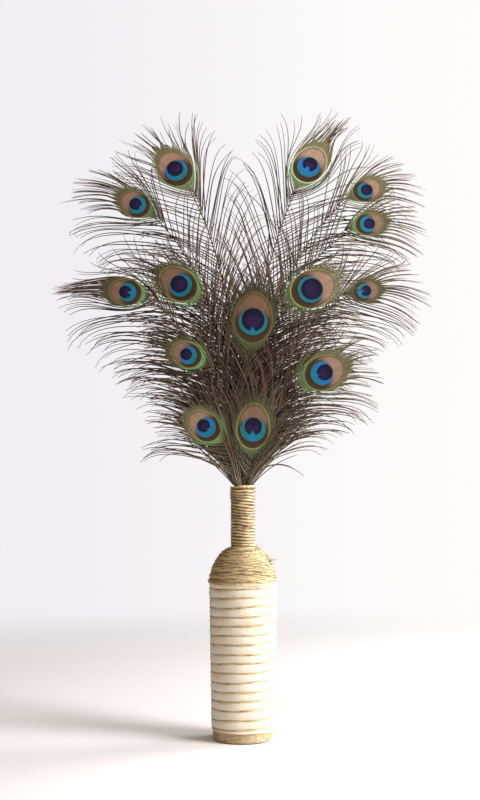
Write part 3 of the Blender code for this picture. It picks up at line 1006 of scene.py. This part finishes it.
    def build(self, wide, slim, materials):
        number = f"{self.number + 1:02d}"
        name = f"peacock_feather_{number}"
        fan, loose, shaft = self.fan(), self.loose(), [self.shaft()]
        parts = [
            self.mesh(wide, fan, "fan"),
            self.mesh(slim, loose, "loose"),
            self.mesh(None, shaft, "shaft"),
        ]
        mesh = joined(name, parts, flat=0)
        lay_strips(mesh, ((fan, 4), (loose, 4), (shaft, 8)))
        # The fan and the loose barbs share one material.
        for face in mesh.polygons:
            face.material_index = max(0, face.material_index - 1)
        add_piece(name, mesh, "feather", f"feather_{number}", *materials)


# Windings

# How far above its edge each turn over the rim lies, and how dark it is: the lower turns take more
# painted shade.
RIM_TURNS = ((-0.0018, 0.8), (-0.0009, 0.6), (0.0, 0.3), (0.0009, 0.0))
# How far up the shoulder each slack roll lies and how thick it is, how many threads are twisted
# into one, and how many loose ends stand off the shoulder.
ROLLS = ((0.02, 0.0011), (0.13, 0.0008), (0.30, 0.0006))
ROLL_THREADS = 8
STRAY_ENDS = 26
# The skin that the shoulder's earlier turns make, and how far above the glass the first crossing
# turns lie and the last lie above them.
SLEEVE_SKIN = 0.0013
FIRST_LAYER = 0.0007
LAYERS = 0.0018
# How many points each kind of thread has in one turn.
NECK_POINTS = 28
RIM_POINTS = 48
SHOULDER_POINTS = 56
ROLL_POINTS = 72
FOOT_POINTS = 48
LINE_POINTS = 110
OUTLINE_STEPS = 14
THREAD_SIDES = 6
# How far the band's turns stray, and over how much of its height that fades out at each end.
DRIFT = 0.0016
DRIFT_FADE = 0.008
# How many lengths one turn's rounded section has, and how many turns are spun before the cuts.
BAND_RIBS = 10
SPUN_TURNS = 20


def body_radius(z):
    """The glass body widens a little from its foot to its shoulder."""
    share = (z - FOOT_TOP_Z) / (SHOULDER_Z - FOOT_TOP_Z)
    return FOOT_RADIUS + (SHOULDER_RADIUS - FOOT_RADIUS) * share


def shoulder_point(share):
    """(radius, z) on the shoulder's outline: 0 at the body, 1 at the neck."""
    turn = share * pi / 2
    radius = NECK_RADIUS + (SHOULDER_RADIUS - NECK_RADIUS) * cos(turn)
    return radius, SHOULDER_Z + SHOULDER_HEIGHT * sin(turn) ** 1.3


def shoulder_outward(share):
    """The outline's outward direction there, as (radius, z)."""
    low, high = shoulder_point(max(share - 0.02, 0)), shoulder_point(min(share + 0.02, 1))
    way = Vector((high[0] - low[0], high[1] - low[1])).normalized()
    return Vector((way.y, -way.x))


def turned(profile, closed):
    """Spin a profile of (radius, z) points round the bottle's axis."""
    shape = bmesh.new()
    points = [shape.verts.new((radius, 0, z)) for radius, z in profile]
    ends = points[1:] + points[:1] if closed else points[1:]
    outline = points + [shape.edges.new(pair) for pair in zip(points, ends)]
    bmesh.ops.spin(
        shape, geom=outline, axis=(0, 0, 1), angle=2 * pi, steps=ROUND_SIDES, use_merge=True
    )
    bmesh.ops.remove_doubles(shape, verts=shape.verts, dist=0.00001)
    bmesh.ops.recalc_face_normals(shape, faces=shape.faces)
    return shape


def round_place(radius, angle, z):
    return radius * cos(angle), radius * sin(angle), z


def ring_noise(angle, wide, height):
    """Noise that meets itself after a turn round the axis."""
    return noise.noise(Vector((cos(angle) * wide, sin(angle) * wide, height)))


def wound(name, strands, thickness):
    """A mesh of round threads from strands whose places are (x, y, z)."""
    splines = [[(*p, width) for p, width in zip(s.places, s.widths)] for s in strands]
    mesh = curve_mesh(name, splines, depth=thickness / 2)
    mark_strands(mesh, strands, THREAD_SIDES)
    return mesh


def neck_strand(settings, pick):
    """One thread wound up the neck, gathered into ridges a few threads wide."""
    half = settings.neck_thread / 2
    low = SHOULDER_Z + SHOULDER_HEIGHT + half
    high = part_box("neck_thread")[1].z - half
    turns = (high - low) / (settings.neck_thread * 0.95)
    total = round(turns * NECK_POINTS)
    places, widths, shades = [], [], []
    for step in range(total + 1):
        angle = 2 * pi * step / NECK_POINTS
        z = low + (high - low) * step / total
        core = COLLAR_RADIUS if z > COLLAR_Z else NECK_RADIUS
        wander = ring_noise(angle, 0.8, z * 500)
        drift = ring_noise(angle, 1, z * 90)
        ridge = 0.5 + 0.5 * cos(2 * pi * (z / settings.neck_ridge + 0.35 * drift))
        radius = core + GAP + half + 0.0009 * ridge + 0.00012 * wander
        slant = -0.07 * radius * cos(angle)
        tilt = slant * smooth(z, low, low + 0.006) * (1 - smooth(z, high - 0.006, high))
        places.append(round_place(radius, angle, z + tilt + 0.0004 * wander))
        widths.append(1 + 0.15 * wander)
        # The dips between ridges are marked for painted shade.
        shades.append(1 - ridge)
    return Strand(places, widths, pick(0, 0.5), shades)


def rim_strand(settings, lift, shade):
    """A turn of thread drawn slantwise over the edge of the mouth."""
    radius = COLLAR_RADIUS + GAP + settings.neck_thread / 2 + 0.0002
    places = []
    for step in range(RIM_POINTS + 1):
        angle = 2 * pi * step / RIM_POINTS + lift * 400
        z = MOUTH_Z - 0.0004 + lift + (0.0008 + 0.3 * lift) * cos(angle) + 0.0002 * sin(3 * angle)
        places.append(round_place(radius, angle, z))
    return Strand(places, [1.0] * len(places), 0.0, shade)


def shoulder_strand(settings, pick, layer):
    """One wandering turn over the shoulder, lying on the turns below it."""
    level = pick(0.0, 1.0) ** 0.85
    tilt, wave = pick(-0.16, 0.16), pick(-0.06, 0.06)
    phase, second = pick(0, 2 * pi), pick(0, 2 * pi)
    half = settings.shoulder_thread / 2
    places = []
    for step in range(SHOULDER_POINTS + 1):
        angle = phase + 2 * pi * 1.02 * step / SHOULDER_POINTS
        share = level + tilt * sin(angle - phase * 2) + wave * sin(3 * angle + second)
        share = min(max(share, 0.015), 0.97)
        radius, z = shoulder_point(share)
        out = shoulder_outward(share)
        lift = GAP + half + FIRST_LAYER + layer * LAYERS + 0.0004 * sin(5 * angle + second)
        places.append(round_place(radius + out.x * lift, angle, z + out.y * lift))
    # Earlier turns, lying under the later ones, are marked for more painted shade.
    return Strand(places, [pick(0.75, 1.2)] * len(places), pick(0, 0.75), 0.3 * (1 - layer))


def roll_strands(pick, share, thick):
    """A slack roll of turns round the shoulder, its threads twisted about each other."""
    radius, z = shoulder_point(share)
    out = shoulder_outward(share)
    phase = pick(0, 2 * pi)
    strands = []
    for number in range(ROLL_THREADS):
        turn, spin = 2 * pi * number / ROLL_THREADS, pick(0.5, 1.5)
        places = []
        for step in range(ROLL_POINTS + 1):
            angle = 2 * pi * step / ROLL_POINTS
            bulk = thick * (0.55 - 0.45 * cos(angle) + 0.2 * sin(4 * angle + 2 * phase))
            lift = GAP + 0.0024 + bulk + bulk * cos(turn + spin * angle)
            rise = bulk * 1.5 * sin(turn + spin * angle) + 0.0022 * sin(angle + phase)
            place = Vector((radius, z)) + out * lift + Vector((-out.y, out.x)) * rise
            places.append(round_place(place.x, angle, place.y))
        strands.append(Strand(places, [pick(0.7, 1.1)] * len(places), pick(0, 1), pick(0, 0.4)))
    return strands


def stray_end(pick):
    """A short loose end that stands off the shoulder."""
    share, angle = pick(0.25, 0.95), pick(-1.5, 0.5)
    radius, z = shoulder_point(share)
    out = shoulder_outward(share)
    length, turn = pick(0.005, 0.013), pick(-1.2, 1.2)
    start = Vector(round_place(radius + out.x * 0.0022, angle, z + out.y * 0.0022))
    lean = out.y + pick(-0.5, 0.3)
    way = Vector((cos(angle + turn) * out.x, sin(angle + turn) * out.x, lean)).normalized()
    bend = Vector((0, 0, -pick(0.1, 0.6)))
    places = []
    for step in range(6):
        reach = length * step / 5
        places.append(tuple(start + way * reach + bend * reach * reach / 0.012))
    return Strand(places, [0.8, 0.8, 0.75, 0.7, 0.6, 0.45], pick(0, 1))


def foot_strand(settings, pick):
    """Flat turns of thread from under the white band down to the foot."""
    half = settings.foot_thread / 2
    low, high = half + 0.0002, BAND_LOW_Z - half
    turns = (high - low) / (settings.foot_thread * 0.92)
    total = round(turns * FOOT_POINTS)
    places, widths = [], []
    for step in range(total + 1):
        angle = 2 * pi * step / FOOT_POINTS
        z = low + (high - low) * step / total
        edge = BASE_RADIUS + (FOOT_RADIUS - BASE_RADIUS) * z / FOOT_TOP_Z
        core = min(body_radius(max(z, FOOT_TOP_Z)), edge)
        wander = ring_noise(angle, 2, z * 400)
        places.append(round_place(core + GAP + half + 0.0002 * wander, angle, z + 0.00015 * wander))
        widths.append(1 + 0.12 * wander)
    return Strand(places, widths, pick(0, 1))


def turn_drift(x, y, z):
    """How far the band's turns, and the line between them, stray from an even helix."""
    low = smooth(z, BAND_LOW_Z, BAND_LOW_Z + DRIFT_FADE)
    fade = low * (1 - smooth(z, BAND_HIGH_Z - DRIFT_FADE, BAND_HIGH_Z))
    return DRIFT * fade * noise.noise(Vector((x * 28, y * 28, z * 70)))


def gold_line_strand(settings, pick):
    """The gold line in the band's groove, climbing from left to right and a little wavy."""
    total = round(THREAD_TURNS * LINE_POINTS)
    base = SHOULDER_RADIUS + BAND_THICKNESS - GROOVE_DEPTH + GAP + settings.line_thread / 2
    places, widths = [], []
    for step in range(total + 1):
        angle = pi + 2 * pi * step / LINE_POINTS
        z = THREAD_START_Z + BAND_PITCH * step / LINE_POINTS
        wave = ring_noise(angle, 3, z * 120)
        small = ring_noise(angle, 14, z * 300)
        radius = base + body_radius(z) - SHOULDER_RADIUS - GAP + 0.0005 * wave + 0.0001 * small
        x, y, _ = round_place(radius, angle, z)
        drift = turn_drift(x, y, z)
        places.append((x, y, z + drift + 0.0006 * wave + 0.0003 * small))
        widths.append(1 + 0.5 * small)
    return Strand(places, widths, pick(0, 0.3))


def open_loop(shape, z):
    """The open edges of a tube at height z."""
    edges = (e for e in shape.edges if e.is_boundary)
    return [e for e in edges if all(abs(v.co.z - z) < 1e-5 for v in e.verts)]


def band_shape():
    """The soft band: a helix of plump turns, cut level at both ends and closed by an inner tube."""
    inner = SHOULDER_RADIUS + GAP
    ends = (BAND_LOW_Z, BAND_HIGH_Z)
    shape = bmesh.new()
    start = THREAD_START_Z - 2 * BAND_PITCH
    groove = shape.verts.layers.float_vector.new("groove")
    corners = []
    for rib in range(BAND_RIBS + 1):
        share = rib / BAND_RIBS
        plump = sin(pi * share) ** 0.55 if 0 < share < 1 else 0.0
        radius = inner + BAND_THICKNESS - GROOVE_DEPTH * (1 - plump)
        corner = shape.verts.new((-radius, 0, start + BAND_PITCH * share))
        # Each point keeps how deep in the groove it lies; the band's material paints gold fuzz and
        # shade there.
        corner[groove] = (1 - plump, 0, 0)
        corners.append(corner)
    swept = corners + [shape.edges.new(pair) for pair in zip(corners, corners[1:])]
    bmesh.ops.spin(
        shape,
        geom=swept,
        axis=(0, 0, 1),
        dvec=(0, 0, BAND_PITCH / ROUND_SIDES),
        angle=2 * pi * SPUN_TURNS,
        steps=ROUND_SIDES * SPUN_TURNS,
    )
    bmesh.ops.remove_doubles(shape, verts=shape.verts, dist=0.00002)
    for z in ends:
        bmesh.ops.bisect_plane(
            shape,
            geom=shape.verts[:] + shape.edges[:] + shape.faces[:],
            dist=1e-6,
            plane_co=(0, 0, z),
            plane_no=(0, 0, 1),
            clear_inner=z == BAND_LOW_Z,
            clear_outer=z == BAND_HIGH_Z,
        )
    for point in shape.verts:
        soft = noise.noise(point.co * 90) * 0.00035 + noise.noise(point.co * 260) * 0.00016
        flat = Vector((point.co.x, point.co.y, 0)).normalized()
        point.co += flat * (soft + body_radius(point.co.z) - SHOULDER_RADIUS)
        point.co.z += turn_drift(*point.co)
    outer_loops = [open_loop(shape, z) for z in ends]
    inner_loops = []
    for z in ends:
        radius = body_radius(z) + GAP
        ring = bmesh.ops.create_circle(shape, segments=ROUND_SIDES, radius=radius)["verts"]
        bmesh.ops.translate(shape, verts=ring, vec=(0, 0, z))
        inner_loops.append(list(dict.fromkeys(e for v in ring for e in v.link_edges)))
    bmesh.ops.bridge_loops(shape, edges=inner_loops[0] + inner_loops[1])
    for outer_loop, inner_loop in zip(outer_loops, inner_loops):
        bmesh.ops.bridge_loops(shape, edges=outer_loop + inner_loop)
    bmesh.ops.recalc_face_normals(shape, faces=shape.faces)
    return shape


def bottle_shape():
    """The glass, turned from foot to rim and back down inside."""
    shares = [step / OUTLINE_STEPS for step in range(OUTLINE_STEPS + 1)]
    inner_body, inner_height = SHOULDER_RADIUS - GLASS_WALL, SHOULDER_HEIGHT - GLASS_WALL
    inside = []
    for turn in (share * pi / 2 for share in shares):
        radius = BORE_RADIUS + (inner_body - BORE_RADIUS) * cos(turn)
        inside.append((radius, SHOULDER_Z + inner_height * sin(turn) ** 1.3))
    arc = [(RIM_ROUND * cos(turn), RIM_ROUND * sin(turn)) for turn in (0, pi / 6, pi / 3, pi / 2)]
    edge = MOUTH_Z - RIM_ROUND
    profile = [(0, 0), (BASE_RADIUS, 0), (FOOT_RADIUS, FOOT_TOP_Z), *map(shoulder_point, shares)]
    profile += [(NECK_RADIUS, COLLAR_Z), (COLLAR_RADIUS, COLLAR_Z + 0.001)]
    profile += [(COLLAR_RADIUS - RIM_ROUND + out, edge + up) for out, up in arc]
    profile += [(BORE_RADIUS + RIM_ROUND - up, edge + out) for out, up in arc]
    profile += [*inside[::-1], (FOOT_RADIUS - GLASS_WALL, FLOOR_THICKNESS), (0, FLOOR_THICKNESS)]
    return turned(profile, closed=False)


def under_sleeve():
    """Earlier turns of thread on the shoulder, as one closed skin under the crossing ones."""
    inner, outer = [], []
    for step in range(OUTLINE_STEPS + 1):
        share = 0.004 + 0.985 * step / OUTLINE_STEPS
        radius, z = shoulder_point(share)
        out = shoulder_outward(share)
        inner.append((radius + out.x * GAP, z + out.y * GAP))
        outer.append((radius + out.x * SLEEVE_SKIN, z + out.y * SLEEVE_SKIN))
    mesh = to_mesh(turned(inner + outer[::-1], closed=True), "under")
    # The skin is given a dark tint as painted shade, so the gaps between the crossing turns look
    # shaded.
    store(mesh, "strand", [(v.co.z * 12, 0.8, 0) for v in mesh.vertices])
    return mesh


class PEACOCK_OT_bottle(bpy.types.Operator):
    """Add the glass bottle that serves as the vase"""

    bl_idname = "peacock.bottle"
    bl_label = "Bottle"

    def execute(self, context):
        mesh = to_mesh(bottle_shape(), "glass_bottle")
        mesh.shade_smooth()
        mesh.set_sharp_from_angle(angle=radians(40))
        material = glass_material(context.scene.peacock_windings)
        add_piece("glass_bottle", mesh, "glass", "bottle", material)
        return {"FINISHED"}


class PEACOCK_OT_windings(bpy.types.Operator):
    """Add the gold thread wound round the neck, the shoulder and the foot"""

    bl_idname = "peacock.windings"
    bl_label = "Gold windings"

    def execute(self, context):
        settings = context.scene.peacock_windings
        pick = random.Random(WINDING_SEED).uniform
        material = thread_material("wound gold thread", settings, settings.gold, 0.35, 0.25)

        strands = [neck_strand(settings, pick)]
        strands += [rim_strand(settings, lift, shade) for lift, shade in RIM_TURNS]
        neck = joined("neck_winding", [wound("neck", strands, settings.neck_thread)])
        add_piece("neck_winding", neck, "gold_wrap", "neck_thread", material)

        count = settings.shoulder_turns
        strands = [shoulder_strand(settings, pick, index / count) for index in range(count)]
        for share, thick in ROLLS:
            strands += roll_strands(pick, share, thick)
        strands += [stray_end(pick) for _ in range(STRAY_ENDS)]
        turns = wound("shoulder", strands, settings.shoulder_thread)
        mesh = joined("shoulder_winding", [turns, under_sleeve()])
        mesh.polygons.foreach_set("material_index", [0] * len(mesh.polygons))
        add_piece("shoulder_winding", mesh, "gold_wrap", "shoulder_thread", material)

        foot = wound("foot", [foot_strand(settings, pick)], settings.foot_thread)
        tight = thread_material("foot thread", settings, settings.gold, 0.35, 0.25, FOOT_TWIST)
        foot = joined("foot_winding", [foot])
        add_piece("foot_winding", foot, "gold_wrap", "foot_thread", tight)
        return {"FINISHED"}


class PEACOCK_OT_band(bpy.types.Operator):
    """Add the soft white band and the gold line laid in its groove"""

    bl_idname = "peacock.band"
    bl_label = "White band"

    def execute(self, context):
        settings = context.scene.peacock_windings
        mesh = to_mesh(band_shape(), "white_band")
        mesh.shade_smooth()
        mesh.set_sharp_from_angle(angle=radians(60))
        add_piece("white_band", mesh, "white_band", "body_band", band_material(settings))

        pick = random.Random(LINE_SEED).uniform
        line = wound("line", [gold_line_strand(settings, pick)], settings.line_thread)
        material = thread_material("gold line thread", settings, settings.line_gold, 0.8, 0.3)
        line = joined("gold_line", [line])
        add_piece("gold_line", line, "gold_line", "gold_thread", material)
        return {"FINISHED"}


class PEACOCK_OT_feathers(bpy.types.Operator):
    """Add the fourteen tail feathers, barb by barb"""

    bl_idname = "peacock.feathers"
    bl_label = "Feathers"

    def execute(self, context):
        settings = context.scene.peacock_feathers
        wide, slim = flat_section("wide section", 0.06), flat_section("slim section", 0.55)
        shaft = shaft_material(settings)
        for number, look in enumerate(LOOKS):
            builder = FeatherBuilder(number, settings, range(len(FEATHERS)))
            builder.build(wide, slim, (barb_material(settings, number + 1, look), shaft))
        for section in (wide, slim):
            bpy.data.objects.remove(section)
        return {"FINISHED"}


# Stage

FLOOR_RADIUS = 2.7
FLOOR_SIDES = 128
# The floor fades out between these distances from the middle.
FADE_START = 0.4
FADE_END = 1.5


def floor_material(settings):
    """A plain pale floor that fades into the backdrop well away from the object."""
    material, tree, shader = new_material("floor", 0.8, specular=0.2)
    tree.feed(shader["Base Color"], settings.floor)
    reach = tree.add("ShaderNodeVectorMath", operation="LENGTH")
    tree.feed(reach.inputs[0], tree.add("ShaderNodeTexCoord").outputs["Object"])
    tree.feed(shader["Alpha"], tree.step(reach.outputs["Value"], FADE_END, FADE_START))
    return material


Light = namedtuple("Light", "name size place target colour")
LIGHTS = (
    Light("key", 1.0, (1.45, -0.68, 0.95), (0, 0, 0.35), (1.0, 0.99, 0.97)),
    Light("window", 0.9, (1.3, 0.62, 0.6), (0, 0, 0.3), (1.0, 0.99, 0.97)),
    Light("fill", 1.4, (-0.5, -1.9, 0.9), (0, 0, 0.35), (1.0, 0.87, 0.68)),
    Light("top", 1.6, (0, -0.3, 2.3), (0, 0, 0), (1.0, 0.99, 0.98)),
)


def add_light(light, power):
    data = bpy.data.lights.new(light.name, "AREA")
    data.energy = power
    data.shape = "DISK"
    data.size = light.size
    data.color = light.colour
    item = add_object(light.name, data)
    item.location = light.place
    item.rotation_mode = "QUATERNION"
    way = Vector(light.target) - Vector(light.place)
    item.rotation_quaternion = way.to_track_quat("-Z", "Y")


def set_world(settings):
    world = bpy.data.worlds.new("studio")
    world.use_nodes = True
    tree = Tree(world.node_tree)
    nodes = world.node_tree.nodes
    even, output = nodes["Background"], nodes["World Output"]
    tree.fill(even.inputs, {"Color": settings.room, "Strength": settings.sky})
    # The backdrop that the camera sees is painted lighter towards the right, as painted light from
    # that side.
    ways = tree.add("ShaderNodeTexCoord").outputs["Generated"]
    across = tree.place("ShaderNodeSeparateXYZ", Vector=ways)[0]
    behind = tree.mix(tree.step(across, -0.2, 0.2), settings.backdrop, settings.glow)
    seen = tree.place("ShaderNodeBackground", Color=behind, Strength=1.0)[0]
    choice = tree.add("ShaderNodeMixShader")
    camera_ray = tree.add("ShaderNodeLightPath").outputs["Is Camera Ray"]
    for socket, value in zip(choice.inputs, (camera_ray, even.outputs[0], seen)):
        tree.feed(socket, value)
    tree.feed(output.inputs["Surface"], choice.outputs[0])
    bpy.context.scene.world = world


class PEACOCK_OT_stage(bpy.types.Operator):
    """Add the floor, the lights and the camera"""

    bl_idname = "peacock.stage"
    bl_label = "Stage"

    def execute(self, context):
        settings = context.scene.peacock_stage
        shape = bmesh.new()
        bmesh.ops.create_circle(shape, cap_ends=True, segments=FLOOR_SIDES, radius=FLOOR_RADIUS)
        floor = add_object("floor", to_mesh(shape, "floor"))
        floor.data.materials.append(floor_material(settings))
        for light in LIGHTS:
            add_light(light, getattr(settings, f"{light.name}_power"))
        set_world(settings)
        camera = bpy.data.cameras.new("camera")
        camera.lens = CAMERA_LENS
        item = add_object("camera", camera)
        item.location = CAMERA_PLACE
        item.rotation_euler = (pi / 2 + CAMERA_PITCH, 0, 0)
        context.scene.camera = item
        context.scene.view_settings.view_transform = "Standard"
        return {"FINISHED"}


OPERATORS = (
    PEACOCK_OT_stage, PEACOCK_OT_bottle, PEACOCK_OT_windings, PEACOCK_OT_band, PEACOCK_OT_feathers
)

# Where the scene keeps each group of settings.
SETTINGS = {
    "peacock_feathers": FeatherSettings,
    "peacock_windings": WindingSettings,
    "peacock_stage": StageSettings,
}


class PEACOCK_PT_panel(bpy.types.Panel):
    """Lists what can be built, and the sizes and colours it takes"""

    bl_label = "Peacock feathers"
    bl_idname = "PEACOCK_PT_panel"
    bl_space_type = "VIEW_3D"
    bl_region_type = "UI"
    bl_category = "Feathers"

    def draw(self, context):
        for operator in OPERATORS:
            self.layout.operator(operator.bl_idname)
        for group, kind in SETTINGS.items():
            box = self.layout.box()
            for name in kind.__annotations__:
                box.prop(getattr(context.scene, group), name)


CLASSES = (*SETTINGS.values(), *OPERATORS, PEACOCK_PT_panel)


def register():
    for item in CLASSES:
        bpy.utils.register_class(item)
    for group, kind in SETTINGS.items():
        setattr(bpy.types.Scene, group, PointerProperty(type=kind))


def unregister():
    for group in SETTINGS:
        delattr(bpy.types.Scene, group)
    for item in reversed(CLASSES):
        bpy.utils.unregister_class(item)


def main():
    register()
    bpy.ops.peacock.stage()
    bpy.ops.peacock.bottle()
    bpy.ops.peacock.windings()
    bpy.ops.peacock.band()
    bpy.ops.peacock.feathers()


if __name__ == "__main__":
    main()
